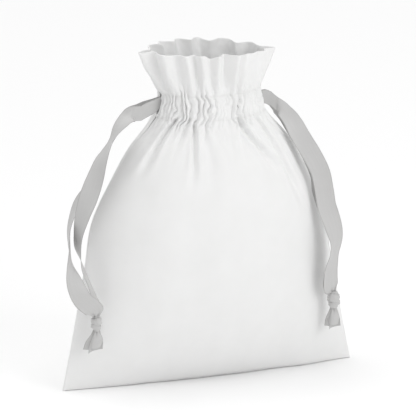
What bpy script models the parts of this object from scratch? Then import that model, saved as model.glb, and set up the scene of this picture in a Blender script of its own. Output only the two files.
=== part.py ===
"""A cotton drawstring gift pouch, partly drawn shut, with two satin ribbons.

Frame: metres, +Z up, origin at the middle of the base. X runs across the pouch, the front faces -Y.
The pouch is two cloth panels. Each panel turns in under the base, rises, folds over the rim and comes
back down inside as a deep hem. Two stitch rows through both layers make the channel for the ribbons.
Each ribbon goes all the way round the channel and comes out at one side, where its ends are knotted.
"""

import math

import bpy
from mathutils import Vector

# Pouch, standing and partly gathered
RIM_Z = 0.262
CHANNEL_TOP_Z = 0.2305
CHANNEL_BOTTOM_Z = 0.2115
HEM_EDGE_Z = 0.2075
SLIT_BOTTOM_Z = 0.2030
CLOTH = 0.0010
CHANNEL_GAP = 0.0020
SEWN_GAP = 0.0004
RIM_GAP = 0.0008

# Half width and half depth of the pouch against height
HALF_WIDTH = (
    (0.000, 0.1230),
    (0.035, 0.1160),
    (0.095, 0.1045),
    (0.135, 0.0970),
    (0.165, 0.0810),
    (0.187, 0.0670),
    (0.209, 0.0480),
    (0.219, 0.0435),
    (0.230, 0.0440),
    (0.262, 0.0570),
)
HALF_DEPTH = (
    (0.000, 0.0100),
    (0.020, 0.0220),
    (0.040, 0.0310),
    (0.070, 0.0390),
    (0.105, 0.0420),
    (0.140, 0.0420),
    (0.170, 0.0390),
    (0.209, 0.0310),
    (0.230, 0.0285),
    (0.262, 0.0340),
)
LENS_AT_BASE = 1.7
LENS_AT_NECK = 1.1

# Side and bottom seams: the sewn edges of both panels, turned inside
SEAM_HALF_THICK = 0.0008
SEAM_ALLOWANCE = 0.0060
CLEAR = 0.0003
SIDE_EDGE_Y = ((0.000, 0.0021), (0.199, 0.0021), (0.2095, 0.0046), (0.262, 0.0046))

# Ribbons
HEADER_MIDDLE_Z = 0.2450
RIBBON_WIDTH = 0.015
RIBBON_THICK = 0.0005
RUN_WIDTH = 0.0062
EXIT_X = 0.0575
UPPER_RUN_Z = 0.2249
LOWER_RUN_Z = 0.2173
KNOT_HALF = (0.0070, 0.0052, 0.0068)
TAIL_LENGTH = 0.0150
TAIL_TOP_HALF = 0.0030
TAIL_WIDENS = 0.0035
TAILS_APART = 0.0022
FRONT_TAIL_FLARE = -0.0045
BACK_TAIL_FLARE = 0.0010
KNOT_SHARE = 0.55
GATHER_LENGTH = 0.012
THREAD = 0.0003
THREAD_PROUD = 0.0002
BARTACK_SIZE = (0.0010, 0.0050, 0.0030)
LANE_INSIDE = 0.0014

PANEL_COLUMNS = 22
STRIP_STEP = 0.007

# Each strand's route from the side exit down to its knot: x, y, z and how far its face is turned
# from the front, in degrees. The outer strand starts behind the inner one and ends in front of it.
LEFT_OUTER_ROUTE = (
    (-0.0575, 0.0036, 0.2168, 30),
    (-0.0644, 0.0036, 0.2141, 55),
    (-0.0733, 0.0028, 0.2063, 88),
    (-0.0808, 0.0015, 0.1961, 98),
    (-0.0868, 0.0005, 0.1867, 90),
    (-0.0948, 0.0000, 0.1716, 84),
    (-0.1022, -0.0010, 0.1580, 84),
    (-0.1122, 0.0000, 0.1443, 88),
    (-0.1200, -0.0065, 0.1304, 98),
    (-0.1243, -0.0170, 0.1181, 114),
    (-0.1262, -0.0240, 0.1049, 136),
    (-0.1240, -0.0275, 0.0915, 170),
    (-0.1180, -0.0285, 0.0790, 192),
    (-0.1080, -0.0265, 0.0700, 200),
)
LEFT_INNER_ROUTE = (
    (-0.0575, -0.0036, 0.2168, 30),
    (-0.0683, -0.0070, 0.2171, 57),
    (-0.0786, -0.0100, 0.2100, 76),
    (-0.0868, -0.0130, 0.2003, 93),
    (-0.0967, -0.0170, 0.1878, 79),
    (-0.1025, -0.0185, 0.1742, 58),
    (-0.1087, -0.0190, 0.1588, 42),
    (-0.1139, -0.0190, 0.1447, 66),
    (-0.1173, -0.0185, 0.1305, 84),
    (-0.1175, -0.0175, 0.1164, 95),
    (-0.1136, -0.0165, 0.1028, 112),
    (-0.1076, -0.0170, 0.0875, 118),
    (-0.1040, -0.0185, 0.0753, 128),
    (-0.1025, -0.0195, 0.0665, 150),
)
RIGHT_FRONT_ROUTE = (
    (0.0575, -0.0046, 0.2130, -15),
    (0.0648, -0.0140, 0.2030, 0),
    (0.0720, -0.0195, 0.1876, 10),
    (0.0796, -0.0230, 0.1737, 15),
    (0.0858, -0.0250, 0.1598, 18),
    (0.0878, -0.0280, 0.1457, 18),
    (0.0895, -0.0300, 0.1315, 12),
    (0.0945, -0.0305, 0.1173, -3),
    (0.0968, -0.0310, 0.1050, -26),
    (0.0950, -0.0315, 0.0933, -39),
    (0.0926, -0.0310, 0.0812, -25),
    (0.0930, -0.0295, 0.0690, -15),
)
RIGHT_BACK_ROUTE = (
    (0.0575, 0.0046, 0.2130, -15),
    (0.0660, -0.0050, 0.2030, 0),
    (0.0740, -0.0125, 0.1876, 10),
    (0.0818, -0.0172, 0.1720, 15),
    (0.0872, -0.0208, 0.1566, 18),
    (0.0884, -0.0220, 0.1436, 18),
    (0.0924, -0.0240, 0.1300, 12),
    (0.0972, -0.0245, 0.1155, -3),
    (0.0994, -0.0255, 0.1032, -26),
    (0.0977, -0.0258, 0.0915, -39),
    (0.0952, -0.0255, 0.0800, -25),
    (0.0950, -0.0245, 0.0690, -15),
)
LEFT_KNOT = (-0.1039, -0.0225, 0.0578)
RIGHT_KNOT = (0.0973, -0.0255, 0.0555)

COTTON = (0.87, 0.86, 0.85)
COTTON_THREAD = (0.82, 0.81, 0.80)
SATIN = (0.52, 0.51, 0.50)


def clear_scene():
    for obj in list(bpy.data.objects):
        bpy.data.objects.remove(obj, do_unlink=True)


def material(name, colour, roughness):
    made = bpy.data.materials.new(name)
    made.use_nodes = True
    shader = made.node_tree.nodes["Principled BSDF"]
    shader.inputs["Base Color"].default_value = (*colour, 1.0)
    shader.inputs["Roughness"].default_value = roughness
    shader.inputs["Metallic"].default_value = 0.0
    return made


def along(table, at):
    """The table's value at a height, on a smooth curve through its points."""
    keys = [row[0] for row in table]
    at = min(max(at, keys[0]), keys[-1])
    last = len(table) - 1
    i = max(k for k in range(last) if keys[k] <= at)
    slopes = [
        (table[min(k + 1, last)][1] - table[max(k - 1, 0)][1])
        / (keys[min(k + 1, last)] - keys[max(k - 1, 0)])
        for k in (i, i + 1)
    ]
    span = keys[i + 1] - keys[i]
    t = (at - keys[i]) / span
    return (
        table[i][1] * (1 + 2 * t) * (1 - t) ** 2
        + table[i + 1][1] * t * t * (3 - 2 * t)
        + slopes[0] * span * t * (1 - t) ** 2
        + slopes[1] * span * t * t * (t - 1)
    )


def wall_point(turn, z, inset=0.0):
    """A point of the front wall: turn runs from -90 degrees at the left seam to 90 at the right."""
    wide, deep = along(HALF_WIDTH, z), along(HALF_DEPTH, z)
    lens = LENS_AT_BASE + (LENS_AT_NECK - LENS_AT_BASE) * min(z / CHANNEL_BOTTOM_Z, 1.0)

    edge = along(SIDE_EDGE_Y, z)

    def on_section(angle):
        cosine = max(math.cos(angle), 0.0)
        return Vector((wide * math.sin(angle), -(edge + deep * cosine**lens), z))

    step = 0.02
    tangent = on_section(turn + step) - on_section(turn - step)
    if abs(turn) > math.pi / 2 - step:
        tangent = Vector((0.25, math.copysign(1.0, turn), 0.0))
    inward = Vector((-tangent.y, tangent.x, 0.0)).normalized()
    return on_section(turn) + inset * inward


def panel_rows():
    """Each row of a panel as height, inset from the outer wall, and its share of the floor's depth."""
    rows = [(0.0, 0.0, share) for share in (0.0, 0.5)]
    body_steps = 14
    rows += [(SLIT_BOTTOM_Z * (i / body_steps) ** 1.15, 0.0, 1.0) for i in range(body_steps + 1)]
    middle = (CHANNEL_BOTTOM_Z + CHANNEL_TOP_Z) / 2
    quarter = (CHANNEL_TOP_Z - CHANNEL_BOTTOM_Z) / 4
    upper = (HEM_EDGE_Z, CHANNEL_BOTTOM_Z, middle - quarter, middle, middle + quarter, CHANNEL_TOP_Z)
    rows += [(z, 0.0, 1.0) for z in (*upper, HEADER_MIDDLE_Z, RIM_Z)]
    reach = CLOTH + RIM_GAP / 2
    for angle in (45, 90, 135):
        over = math.radians(angle)
        rows.append((RIM_Z + reach * math.sin(over), reach * (1 - math.cos(over)), 1.0))
    hem = (
        (RIM_Z, RIM_GAP),
        (HEADER_MIDDLE_Z, RIM_GAP),
        (CHANNEL_TOP_Z, SEWN_GAP),
        (CHANNEL_TOP_Z - 0.0015, CHANNEL_GAP),
        (middle + quarter, CHANNEL_GAP),
        (middle, CHANNEL_GAP),
        (middle - quarter, CHANNEL_GAP),
        (CHANNEL_BOTTOM_Z + 0.0015, CHANNEL_GAP),
        (CHANNEL_BOTTOM_Z, SEWN_GAP),
        (HEM_EDGE_Z, SEWN_GAP),
    )
    return rows + [(z, 2 * CLOTH + gap, 1.0) for z, gap in hem]


def grid_object(name, columns, rows, place, look, collection):
    """A sheet of quads whose corners are put in place by a rule of column and row."""
    bpy.ops.mesh.primitive_grid_add(x_subdivisions=columns, y_subdivisions=rows, size=2)
    obj = bpy.context.object
    obj.name = name
    for vertex in obj.data.vertices:
        column = round((vertex.co.x + 1) / 2 * columns)
        row = round((vertex.co.y + 1) / 2 * rows)
        vertex.co = place(column, row)
    obj.data.materials.append(look)
    obj.data.shade_smooth()
    move_to(obj, collection)
    return obj


def move_to(obj, collection):
    for old in list(obj.users_collection):
        old.objects.unlink(obj)
    collection.objects.link(obj)


def solidify(obj, thickness, offset):
    shell = obj.modifiers.new("Thickness", "SOLIDIFY")
    shell.thickness = thickness
    shell.offset = offset


def panel(name, facing, look, collection):
    """One cloth panel. facing is 1 for the front and -1 for the back."""
    rows = panel_rows()

    def place(column, row):
        z, inset, floor_share = rows[row]
        turn = math.pi * (column / PANEL_COLUMNS - 0.5)
        point = wall_point(turn, min(z, RIM_Z), inset)
        point.z = z
        inner_edge = -(SEAM_HALF_THICK + CLEAR)
        point.y = inner_edge + (point.y - inner_edge) * floor_share
        return Vector((facing * point.x, facing * point.y, point.z))

    obj = grid_object(name, PANEL_COLUMNS, len(rows) - 1, place, look, collection)
    solidify(obj, CLOTH, -1.0)
    return obj


def side_seam(name, side, look, collection):
    steps = 20

    def place(column, row):
        z = CLEAR + (SLIT_BOTTOM_Z - CLEAR) * row / steps
        x = along(HALF_WIDTH, z) - CLEAR - SEAM_ALLOWANCE * column
        return Vector((side * x, 0.0, z))

    obj = grid_object(name, 1, steps, place, look, collection)
    solidify(obj, 2 * SEAM_HALF_THICK, 0.0)
    return obj


def bottom_seam(look, collection):
    reach = along(HALF_WIDTH, 0.0) - SEAM_ALLOWANCE - 0.003

    def place(column, row):
        return Vector((reach * (column / 8 - 1), 0.0, CLEAR + SEAM_ALLOWANCE * row))

    obj = grid_object("bottom_seam", 16, 1, place, look, collection)
    solidify(obj, 2 * SEAM_HALF_THICK, 0.0)
    return obj


def thread_row(name, facing, z, look, collection):
    """A line of stitching on the outer face of a panel."""
    curve = bpy.data.curves.new(name, "CURVE")
    curve.dimensions = "3D"
    curve.bevel_depth = THREAD
    curve.bevel_resolution = 1
    curve.use_fill_caps = True
    spline = curve.splines.new("POLY")
    count = 25
    spline.points.add(count - 1)
    for i, point in enumerate(spline.points):
        turn = math.pi * 0.96 * (i / (count - 1) - 0.5)
        at = wall_point(turn, z, -(THREAD + CLEAR + THREAD_PROUD))
        point.co = (facing * at.x, facing * at.y, at.z, 1.0)
    curve.materials.append(look)
    obj = bpy.data.objects.new(name, curve)
    collection.objects.link(obj)
    return obj


def bartack(name, side, look, collection):
    """The block of close stitches that stops the side seam from opening below the ribbon's exit."""
    bpy.ops.mesh.primitive_cube_add(size=1)
    obj = bpy.context.object
    obj.name = name
    size = BARTACK_SIZE
    z = SLIT_BOTTOM_Z - size[2]
    x = along(HALF_WIDTH, z - size[2] / 2) + CLEAR + size[0]
    for vertex in obj.data.vertices:
        vertex.co = Vector([vertex.co[k] * size[k] for k in range(3)])
    obj.location = (side * x, 0.0, z)
    obj.data.materials.append(look)
    edge = obj.modifiers.new("Edge", "BEVEL")
    edge.width = 0.0003
    edge.segments = 1
    move_to(obj, collection)
    return obj


def smooth_route(route, step):
    """Points a step apart on a Catmull-Rom curve through the route's own points."""
    rows = [Vector(row[:3]) for row in route]
    turns = [row[3] for row in route]
    rows = [2 * rows[0] - rows[1]] + rows + [2 * rows[-1] - rows[-2]]
    turns = [turns[0]] + turns + [turns[-1]]
    points = []
    for i in range(1, len(rows) - 2):
        count = max(1, round((rows[i + 1] - rows[i]).length / step))
        for k in range(count):
            t = k / count
            weights = (
                -t + 2 * t * t - t**3,
                2 - 5 * t * t + 3 * t**3,
                t + 4 * t * t - 3 * t**3,
                -t * t + t**3,
            )
            at = sum((w * rows[i - 1 + j] for j, w in enumerate(weights)), Vector()) / 2
            turn = sum(w * turns[i - 1 + j] for j, w in enumerate(weights)) / 2
            points.append((at, turn))
    points.append((rows[-2], turns[-2]))
    return points


def strip(name, points, across, look, collection):
    """A ribbon: a narrow sheet along the points, with a half-width vector at each of them."""

    def place(column, row):
        return points[row] + across[row] * (column - 1)

    obj = grid_object(name, 2, len(points) - 1, place, look, collection)
    solidify(obj, RIBBON_THICK, 0.0)
    return obj


def strand(name, route, look, collection):
    """A free stretch of ribbon that hangs from the side exit to its knot."""
    walked = smooth_route(route, STRIP_STEP)
    points = [at for at, _ in walked]
    across = []
    for i, (_, turn) in enumerate(walked):
        ahead = (points[min(i + 1, len(points) - 1)] - points[max(i - 1, 0)]).normalized()
        angle = math.radians(turn)
        face = Vector((-math.sin(angle), -math.cos(angle), 0.0))
        left = (points[-1] - points[i]).length
        share = min(1.0, KNOT_SHARE + (1.0 - KNOT_SHARE) * left / GATHER_LENGTH)
        across.append(face.cross(ahead).normalized() * RIBBON_WIDTH / 2 * share)
    # The strand starts upright and a little way out, clear of the run that it continues.
    across[0] = Vector((0.0, 0.0, math.copysign(RIBBON_WIDTH / 2, across[0].z)))
    points[0].x += math.copysign(CLEAR, points[0].x)
    return strip(name, points, across, look, collection)


def channel_run(name, side, level, exit_point, look, collection):
    """The hidden stretch of a ribbon: in at one side, right round the channel, and out again."""
    inset = CLOTH + CHANNEL_GAP / 2
    neck = along(HALF_WIDTH, level)
    between = along(SIDE_EDGE_Y, level) - LANE_INSIDE
    exit_y, exit_z = abs(exit_point[1]), exit_point[2]
    bottom, top = level - RUN_WIDTH / 2, level + RUN_WIDTH / 2

    def lane_edge(sign, z):
        return Vector((sign * (along(HALF_WIDTH, z) - inset * 0.9), -between, z))

    front = [
        Vector((EXIT_X, -exit_y, exit_z)),
        Vector(((neck + EXIT_X) / 2, -(exit_y + 0.0022) / 2, (exit_z + level) / 2)),
        Vector((neck + 0.0012, -0.0020, level)),
    ]
    widths = (RIBBON_WIDTH, (RIBBON_WIDTH + RUN_WIDTH) / 2, RUN_WIDTH)
    across = [Vector((0.0, 0.0, width / 2)) for width in widths]
    edges = [(lane_edge(1, bottom), lane_edge(1, top))]
    for i in range(1, PANEL_COLUMNS):
        turn = math.pi * (0.5 - i / PANEL_COLUMNS)
        edges.append((wall_point(turn, bottom, inset), wall_point(turn, top, inset)))
    edges.append((lane_edge(-1, bottom), lane_edge(-1, top)))
    front += [(low + high) / 2 for low, high in edges]
    across += [(high - low) / 2 for low, high in edges]
    points = front + [Vector((p.x, -p.y, p.z)) for p in reversed(front)]
    across += [Vector((a.x, -a.y, a.z)) for a in reversed(across)]
    points = [Vector((side * p.x, p.y, p.z)) for p in points]
    across = [Vector((side * a.x, a.y, a.z)) for a in across]
    return strip(name, points, across, look, collection)


def knot(name, centre, look, collection):
    bpy.ops.mesh.primitive_uv_sphere_add(segments=16, ring_count=10, radius=1.0)
    obj = bpy.context.object
    obj.name = name
    for vertex in obj.data.vertices:
        vertex.co = Vector([vertex.co[k] * KNOT_HALF[k] for k in range(3)])
    obj.location = centre
    obj.data.materials.append(look)
    obj.data.shade_smooth()
    move_to(obj, collection)
    return obj


def tail(name, centre, lean, look, collection):
    """A cut end of ribbon below its knot, flaring to the ribbon's full width."""
    steps = 4
    top = Vector(centre) + Vector((0.0, lean * TAILS_APART, -KNOT_HALF[2] - CLEAR))
    flare = FRONT_TAIL_FLARE if lean < 0 else BACK_TAIL_FLARE
    points = [
        top + Vector((0.0, flare * (i / steps) ** 1.5, -TAIL_LENGTH * i / steps))
        for i in range(steps + 1)
    ]
    across = [Vector((TAIL_TOP_HALF + TAIL_WIDENS * i / steps, 0.0, 0.0)) for i in range(steps + 1)]
    return strip(name, points, across, look, collection)


def ribbon(hand, side, level, routes, centre, look, collection):
    exit_point = routes[0][1][0]
    channel_run(f"{hand}_ribbon_channel_run", side, level, exit_point, look, collection)
    for strand_name, route in routes:
        strand(f"{hand}_ribbon_{strand_name}_strand", route, look, collection)
    knot(f"{hand}_ribbon_knot", centre, look, collection)
    tail(f"{hand}_ribbon_front_tail", centre, -1, look, collection)
    tail(f"{hand}_ribbon_back_tail", centre, 1, look, collection)


def build():
    clear_scene()
    pouch = bpy.data.collections.new("drawstring_gift_pouch")
    bpy.context.scene.collection.children.link(pouch)
    cotton = material("cotton_cloth", COTTON, 0.85)
    thread = material("cotton_thread", COTTON_THREAD, 0.75)
    satin = material("satin_ribbon", SATIN, 0.38)

    for name, facing in (("front", 1), ("back", -1)):
        panel(f"{name}_panel", facing, cotton, pouch)
        thread_row(f"{name}_channel_upper_stitching", facing, CHANNEL_TOP_Z, thread, pouch)
        thread_row(f"{name}_channel_lower_stitching", facing, CHANNEL_BOTTOM_Z, thread, pouch)
    for hand, side in (("left", -1), ("right", 1)):
        side_seam(f"{hand}_side_seam", side, cotton, pouch)
        bartack(f"{hand}_slit_bartack", side, thread, pouch)
    bottom_seam(cotton, pouch)

    left = (("inner", LEFT_INNER_ROUTE), ("outer", LEFT_OUTER_ROUTE))
    right = (("front", RIGHT_FRONT_ROUTE), ("back", RIGHT_BACK_ROUTE))
    ribbon("left", -1, UPPER_RUN_Z, left, LEFT_KNOT, satin, pouch)
    ribbon("right", 1, LOWER_RUN_Z, right, RIGHT_KNOT, satin, pouch)


build()
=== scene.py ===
"""The looks of the cotton drawstring gift pouch: gathered cloth, satin ribbons, seams and stitching."""

import math

import bpy
import numpy as np
from mathutils import Matrix, Vector


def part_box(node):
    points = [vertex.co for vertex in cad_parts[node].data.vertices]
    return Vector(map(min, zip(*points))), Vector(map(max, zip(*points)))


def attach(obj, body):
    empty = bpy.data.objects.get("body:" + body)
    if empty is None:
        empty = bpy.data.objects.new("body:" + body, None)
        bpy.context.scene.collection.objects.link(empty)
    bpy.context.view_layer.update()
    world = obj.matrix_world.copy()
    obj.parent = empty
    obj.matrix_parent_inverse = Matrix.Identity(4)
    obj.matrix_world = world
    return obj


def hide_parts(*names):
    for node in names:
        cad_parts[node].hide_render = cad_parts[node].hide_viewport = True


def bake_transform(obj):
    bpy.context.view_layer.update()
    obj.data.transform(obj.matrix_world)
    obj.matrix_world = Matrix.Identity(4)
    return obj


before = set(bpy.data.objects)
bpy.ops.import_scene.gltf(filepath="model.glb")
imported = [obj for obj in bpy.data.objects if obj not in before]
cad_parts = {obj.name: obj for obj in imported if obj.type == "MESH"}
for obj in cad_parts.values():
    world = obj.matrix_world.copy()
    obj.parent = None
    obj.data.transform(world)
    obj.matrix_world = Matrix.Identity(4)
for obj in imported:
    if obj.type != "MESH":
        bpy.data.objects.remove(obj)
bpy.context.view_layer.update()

# Camera: a long lens, a little above the pouch and round to its left
CAMERA_AZIMUTH = math.radians(-24)
CAMERA_ELEVATION = math.radians(14.5)
VIEW_WIDTH = 0.326
LENS_MM = 1000
SENSOR_MM = 36
AIM_RIGHT = 0.0008
AIM_UP = 0.1296

# Cloth pouch
RIM_Z = 0.262
CHANNEL_TOP_Z = 0.2305
CHANNEL_BOTTOM_Z = 0.2115
HEM_EDGE_Z = 0.2075
SLIT_BOTTOM_Z = 0.2030
CLOTH_THICK = 0.00035
HEM_GAP = 0.0010
FLOOR_GAP = 0.0007
PANEL_FLAT_WIDTH = 0.250
COLUMNS = 240
SECTION_POINTS = 361
# The wall's rows, as the foot of each stretch and how many rows it has; the hem's rows; the rim's turn
WALL_ROWS = ((0.000, 66), (0.160, 34), (0.204, 36), (0.236, 19))
HEM_ROWS = 34
RIM_TURN_DEGREES = (30, 60, 90, 120, 150)
FLOOR_SHARES = (0.0, 0.35, 0.7)
HALF_WIDTH = (
    (0.000, 0.1230),
    (0.035, 0.1160),
    (0.095, 0.1045),
    (0.135, 0.0970),
    (0.165, 0.0810),
    (0.187, 0.0670),
    (0.209, 0.0475),
    (0.218, 0.0425),
    (0.229, 0.0415),
    (0.233, 0.0438),
    (0.240, 0.0478),
    (0.248, 0.0518),
    (0.262, 0.0574),
)
HALF_DEPTH = (
    (0.000, 0.0090),
    (0.020, 0.0215),
    (0.040, 0.0305),
    (0.070, 0.0385),
    (0.105, 0.0415),
    (0.140, 0.0415),
    (0.170, 0.0380),
    (0.209, 0.0300),
    (0.230, 0.0275),
    (0.262, 0.0330),
)
SIDE_EDGE_Y = (
    (0.000, 0.0003),
    (0.199, 0.0003),
    (0.207, 0.0006),
    (0.213, 0.0012),
    (0.220, 0.0018),
    (0.228, 0.0014),
    (0.233, 0.0006),
    (0.262, 0.0005),
)
# The neck stands a little to the right of the base
NECK_LEAN = ((0.150, 0.0), (0.2080, 0.0018), (0.2360, 0.0018), (0.262, 0.0))
LENS_AT_BASE = 1.7
LENS_AT_NECK = 1.1
LENS_AT_RIM = 2.0
# Heights between which the side slit opens, and the header's edges meet and then part again
SLIT_OPENS = (SLIT_BOTTOM_Z + 0.0010, CHANNEL_BOTTOM_Z + 0.0020)
EDGES_MEET = (0.2270, 0.2320)
EDGES_PART = (0.2400, 0.2520)
EDGE_POWER = 8
SEAM_ALLOWANCE = 0.006
SEAM_HALF_THICK = 0.0004

# How deep each set of folds is at each height
FINE_DEPTH = (
    (0.1970, 0.0),
    (0.2045, 0.0009),
    (0.2085, 0.0020),
    (0.2115, 0.0020),
    (0.2210, 0.0030),
    (0.2305, 0.0019),
    (0.2360, 0.0009),
    (0.2440, 0.0),
)
MEDIUM_DEPTH = ((0.175, 0.0), (0.192, 0.0006), (0.2050, 0.0010), (0.2115, 0.0))
HEADER_DEPTH = ((0.2290, 0.0), (0.2360, 0.45), (0.2450, 0.75), (0.2620, 1.0))
CHANNEL_PUFF = 0.0010
ROW_PINCH = 0.0005
ROW_PINCH_REACH = 0.0018
FINE_COUNT, FINE_UNEVENNESS, FINE_POWER = 27, 0.50, 2.4
MEDIUM_COUNT, MEDIUM_UNEVENNESS, MEDIUM_POWER = 13, 0.40, 2.0
# How unlike each other the folds' heights are, and the mean height that is taken off them
FOLD_SPREAD = 0.35
FOLD_MEAN = 0.55
# Where the low shoulders beside a dent stand, in its widths, and how high they are, as a share of its depth
SHOULDER_AT = 1.7
SHOULDER_SHARE = 0.35

# Soft noise repeats after this many cells
LATTICE = 64
# Kinds of it: (size, cells from the middle to a seam, cells a metre up, step from the panel's seed).
# The first three shift folds sideways, as a share of the panel's half width. The others lift the cloth.
GATHER_DRIFT = (0.042, 7, 150, 5)
GATHER_QUIVER = (0.022, 20, 300, 6)
HEADER_DRIFT = (0.02, 3, 60, 3)
BODY_SWELL = (0.0012, 4.5, 9, 7)
BODY_DENTS = (0.00030, 11, 20, 8)
NECK_CRUMPLE = (0.00025, 40, 420, 9)
# Noise along the panel only: how the channel's puff changes, and how its stitch rows waver
PUFF_CHANGE = (0.6, 12, 1, 10)
ROW_WAVER = (0.0010, 6, 1, 11)
DRIFT_STARTS = (0.194, 0.208)
BODY_ENDS = (0.175, 0.205)

# How strongly the fine gathers show across each panel
GATHERING = {
    "front": (
        (-1.0, 0.35),
        (-0.85, 0.70),
        (-0.60, 1.10),
        (-0.35, 1.25),
        (-0.16, 0.90),
        (-0.08, 0.35),
        (0.03, 0.40),
        (0.12, 1.10),
        (0.28, 1.15),
        (0.45, 0.70),
        (0.80, 0.70),
        (1.0, 0.35),
    ),
    "back": ((-1.0, 0.35), (-0.7, 0.9), (-0.2, 1.1), (0.3, 0.8), (0.7, 1.0), (1.0, 0.35)),
}

# Creases that run down from the channel: (height, share) along each one, its depth and its width.
# A crease fades in and out between these shares of its way down.
CREASE_STARTS = (-0.05, 0.12)
CREASE_ENDS = (0.50, 1.12)
# Its width, as a share of the one given: at its top, and how much more at its foot
CREASE_WIDENS = (0.8, 0.5)
CREASES = {
    "front": (
        (((0.2150, -0.65), (0.2080, -0.695), (0.1850, -0.73), (0.1690, -0.76)), 0.0044, 0.034),
        (((0.2150, -0.48), (0.2040, -0.505), (0.1930, -0.53)), 0.0020, 0.026),
        (((0.2120, -0.41), (0.1940, -0.345), (0.1745, -0.305), (0.1610, -0.30)), 0.0032, 0.026),
        (((0.2040, -0.27), (0.1860, -0.17), (0.1695, -0.14), (0.1500, -0.13)), 0.0016, 0.050),
        (((0.2125, 0.190), (0.2055, 0.23), (0.1930, 0.33), (0.1830, 0.41), (0.1660, 0.53)), 0.0038, 0.036),
        (((0.2155, 0.345), (0.2060, 0.36), (0.1980, 0.37)), 0.0014, 0.024),
        (((0.2140, 0.49), (0.2005, 0.55), (0.1815, 0.585), (0.1540, 0.64), (0.1250, 0.67)), 0.0032, 0.032),
        (((0.2140, 0.74), (0.1950, 0.79), (0.1600, 0.82), (0.1350, 0.84)), 0.0018, 0.036),
    ),
    "back": (
        (((0.2150, -0.80), (0.1900, -0.84), (0.1500, -0.87)), 0.0020, 0.034),
        (((0.2150, -0.52), (0.1950, -0.58), (0.1600, -0.63), (0.1350, -0.65)), 0.0028, 0.034),
        (((0.2150, -0.25), (0.1950, -0.28), (0.1700, -0.30)), 0.0022, 0.030),
        (((0.2140, -0.02), (0.1900, 0.02), (0.1600, 0.03)), 0.0024, 0.032),
        (((0.2150, 0.30), (0.1950, 0.38), (0.1600, 0.46)), 0.0026, 0.034),
        (((0.2150, 0.55), (0.1900, 0.61), (0.1650, 0.64)), 0.0022, 0.030),
        (((0.2150, 0.78), (0.1900, 0.84), (0.1550, 0.87)), 0.0020, 0.034),
    ),
}

# Valleys between the flutes of the ruffled header: share, depth at the rim, width
FLUTES = {
    "front": (
        (-0.87, 0.0066, 0.075),
        (-0.58, 0.0026, 0.065),
        (-0.35, 0.0054, 0.045),
        (-0.16, 0.0040, 0.045),
        (0.036, 0.0078, 0.070),
        (0.23, 0.0046, 0.045),
        (0.56, 0.0016, 0.080),
        (0.80, 0.0030, 0.080),
    ),
    "back": (
        (-0.84, 0.0034, 0.080),
        (-0.55, 0.0044, 0.065),
        (-0.24, 0.0040, 0.070),
        (0.02, 0.0050, 0.070),
        (0.27, 0.0036, 0.060),
        (0.53, 0.0064, 0.050),
        (0.80, 0.0030, 0.080),
    ),
}
# Places where the rim dips: share, drop, width
RIM_DIPS = {
    "front": ((-0.16, 0.0026, 0.05), (0.24, 0.0018, 0.05), (-0.62, 0.0008, 0.07)),
    "back": ((0.50, 0.0022, 0.04), (-0.20, 0.0012, 0.08), (-0.60, 0.0008, 0.08)),
}
# The header's edge above its mean height: in the middle, and its slope and curve towards the right
RIM_LEVEL = (0.0005, -0.0035, -0.0020)
SEEDS = {"front": 11, "back": 29}

# Where the neck closes as the ribbons are pulled
CINCH_FOOT_Z = 0.110
CINCH_FULL_Z = 0.206
CINCH_LIMIT = 1.15

# A direction that no thread runs in, and the radius at a thread's ends, as a share of its own
NO_THREAD_RUNS = (0.31, 0.17, 0.93)
THREAD_END = 0.55
# Stitches and seams: a channel stitch fills a share of its pitch, and a thread stands proud of the cloth
CHANNEL_STITCHES = 84
STITCH_REACH = 0.985
STITCH_SHARE = 0.72
STITCH_RADIUS = 0.00017
STITCH_PROUD = 0.00012
STITCH_WAVER = 0.00015
SEAM_INSET = 0.0006
SEAM_FOOT_Z = 0.0008
SEAM_ROWS = 90
SEAM_COLUMNS = 5
SEAM_WAVE = 0.0002
BOTTOM_SEAM_INSET = 0.0075
BOTTOM_SEAM_FOOT_Z = 0.0004
BOTTOM_SEAM_COLUMNS = 120
BOTTOM_SEAM_WAVE = 0.0001
OVERLOCK_POINTS = 240
OVERLOCK_INSET = 0.0054
OVERLOCK_SWING = 0.0009
OVERLOCK_PROUD = 0.00062
OVERLOCK_RADIUS = 0.00016
BARTACK_STITCHES = 11
BARTACK_BELOW_SLIT = 0.0004
# How far inside the side edge each point of a bartack stitch lies, from front to back
BARTACK_INSETS = (0.0010, 0.0, -0.0003, 0.0, 0.0010)
BARTACK_HEIGHT = 0.0030
BARTACK_HALF_WIDTH = 0.0016
BARTACK_RADIUS = 0.00019

# Ribbons
RIBBON_WIDTH = 0.015
RIBBON_THICK = 0.00028
RIBBON_COLUMNS = 17
ROUTE_STEP = 0.0014
# A strand's width, as a share of the ribbon's: at its exit, and where it tucks into its knot
EXIT_SHARE = 0.80
KNOT_SHARE = 0.34
# Distances from the exit over which a strand spreads to its full width, turns free, and cups
SPREADS = (0.0040, 0.0280)
TURNS_FREE = (0.0, 0.0100)
CUPS = (0.0, 0.0120)
# Distances before the knot over which it narrows again and pleats
TUCKS_IN = (0.0006, 0.0085)
PLEATS_UP = (0.0, 0.0100)
CUP_DEPTH = 0.0007
PLEAT_DEPTH = 0.0008
EDGE_RIPPLE = 0.00015

# The ribbons' runs round the channel
EXIT_X = 0.0575
EXIT_Z = {"left": 0.2168, "right": 0.2130}
EXIT_GAP = {"left": 0.0036, "right": 0.0046}
RUN_Z = {"left": 0.2232, "right": 0.2190}
RUN_WIDTH = 0.0090
RUN_THICK = 0.00018
RUN_SPACING = 0.00016
RUN_REACH = 0.955
RUN_POINTS = 620
RUN_LINES = 19
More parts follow.
